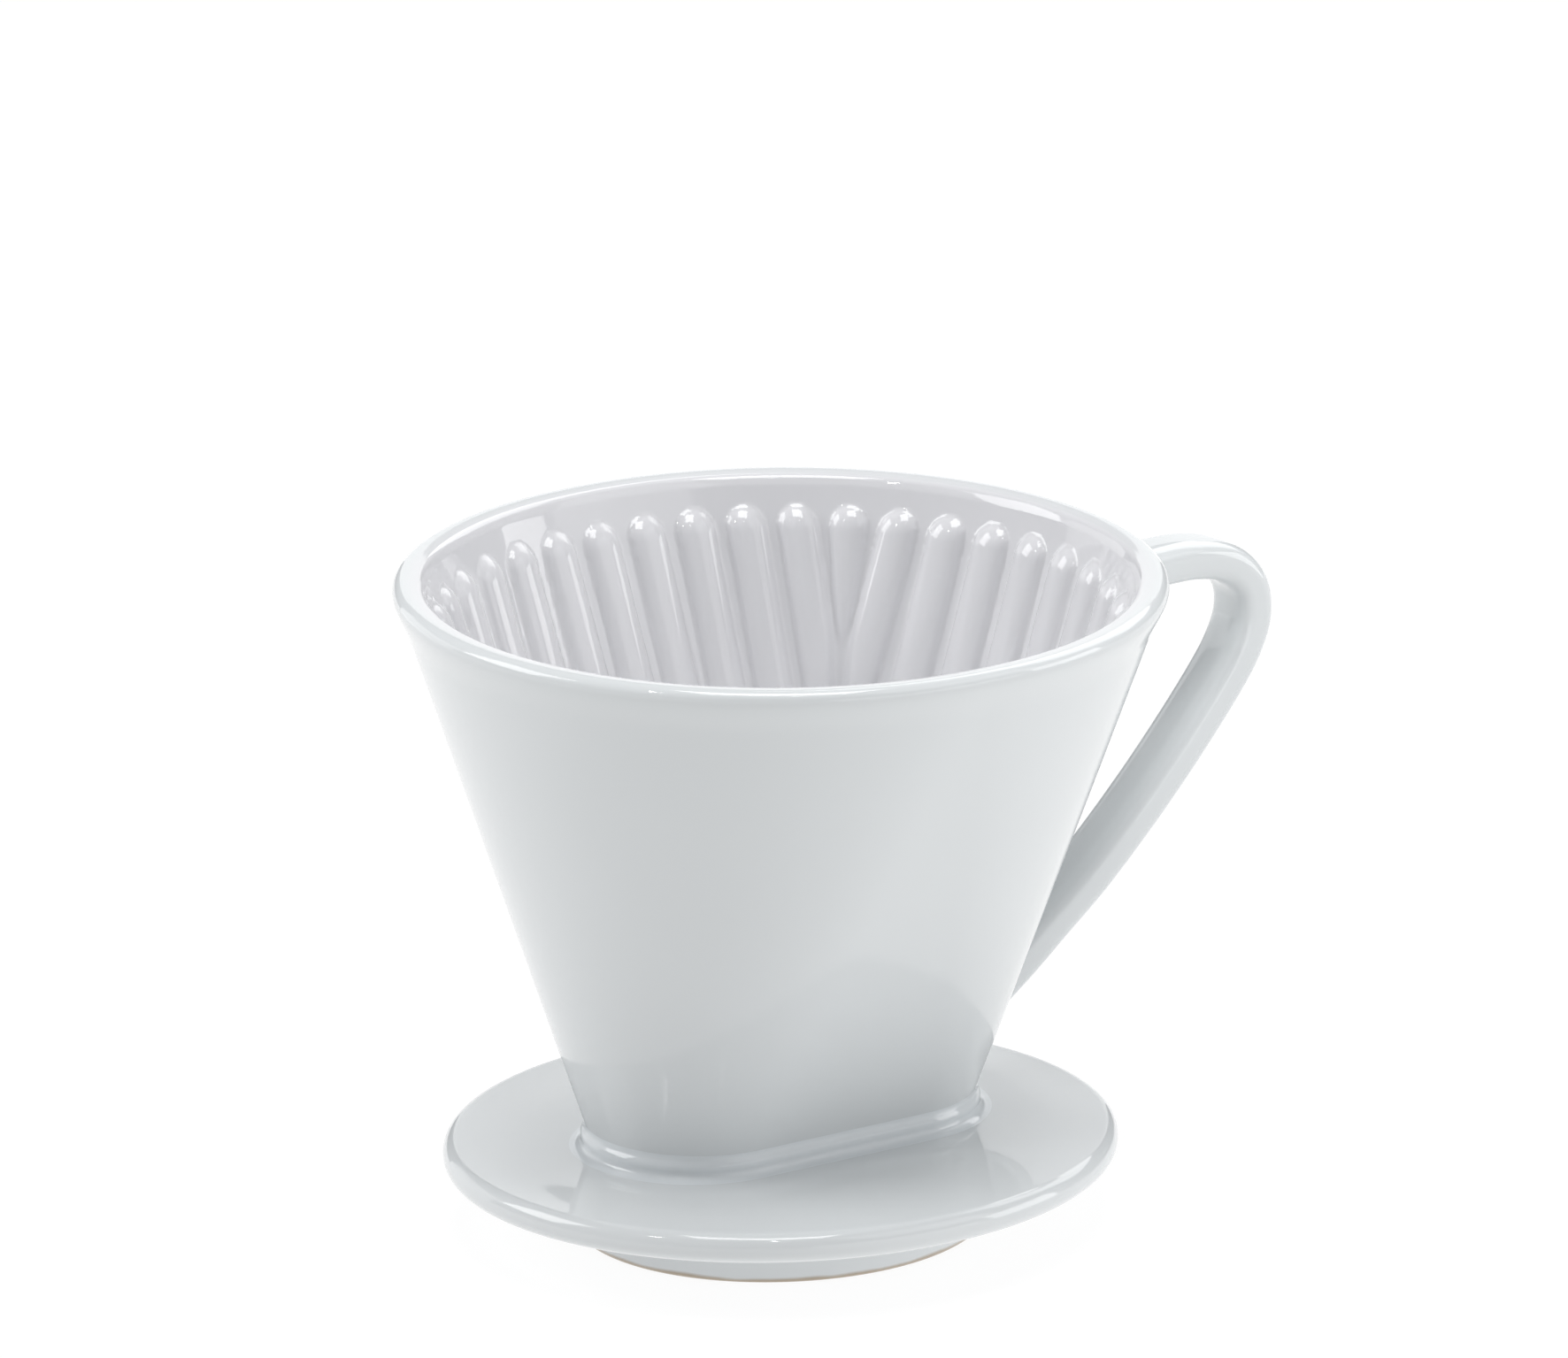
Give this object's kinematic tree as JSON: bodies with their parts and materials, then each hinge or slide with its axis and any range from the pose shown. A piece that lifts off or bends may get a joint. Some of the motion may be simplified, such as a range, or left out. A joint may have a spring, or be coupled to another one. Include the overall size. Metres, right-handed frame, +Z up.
{
  "type": "pour over dripper",
  "caption": "White glazed porcelain pour over coffee dripper: a ribbed wedge cone with an oval rim on an oval base plate, with a foot ring and a strap handle.",
  "frame": {"origin": "under the middle of the whole object's box, on the surface that the foot ring stands on", "axes": "+Z up, +X along the slot's long axis towards the handle, +Y across the slot"},
  "size_m": [0.1567, 0.1218, 0.1085],
  "materials": {
    "white_glaze": "gloss",
    "foot_edge": "glazed sides, bare standing edge"
  },
  "bodies": {
    "root": {"filter_cone": "white_glaze", "drain_floor": "white_glaze", "base_plate": "white_glaze", "foot_ring": "foot_edge", "seam_bead": "white_glaze", "handle": "white_glaze", "handle_upper_seam": "white_glaze", "handle_lower_seam": "white_glaze"}
  },
  "joints": []
}
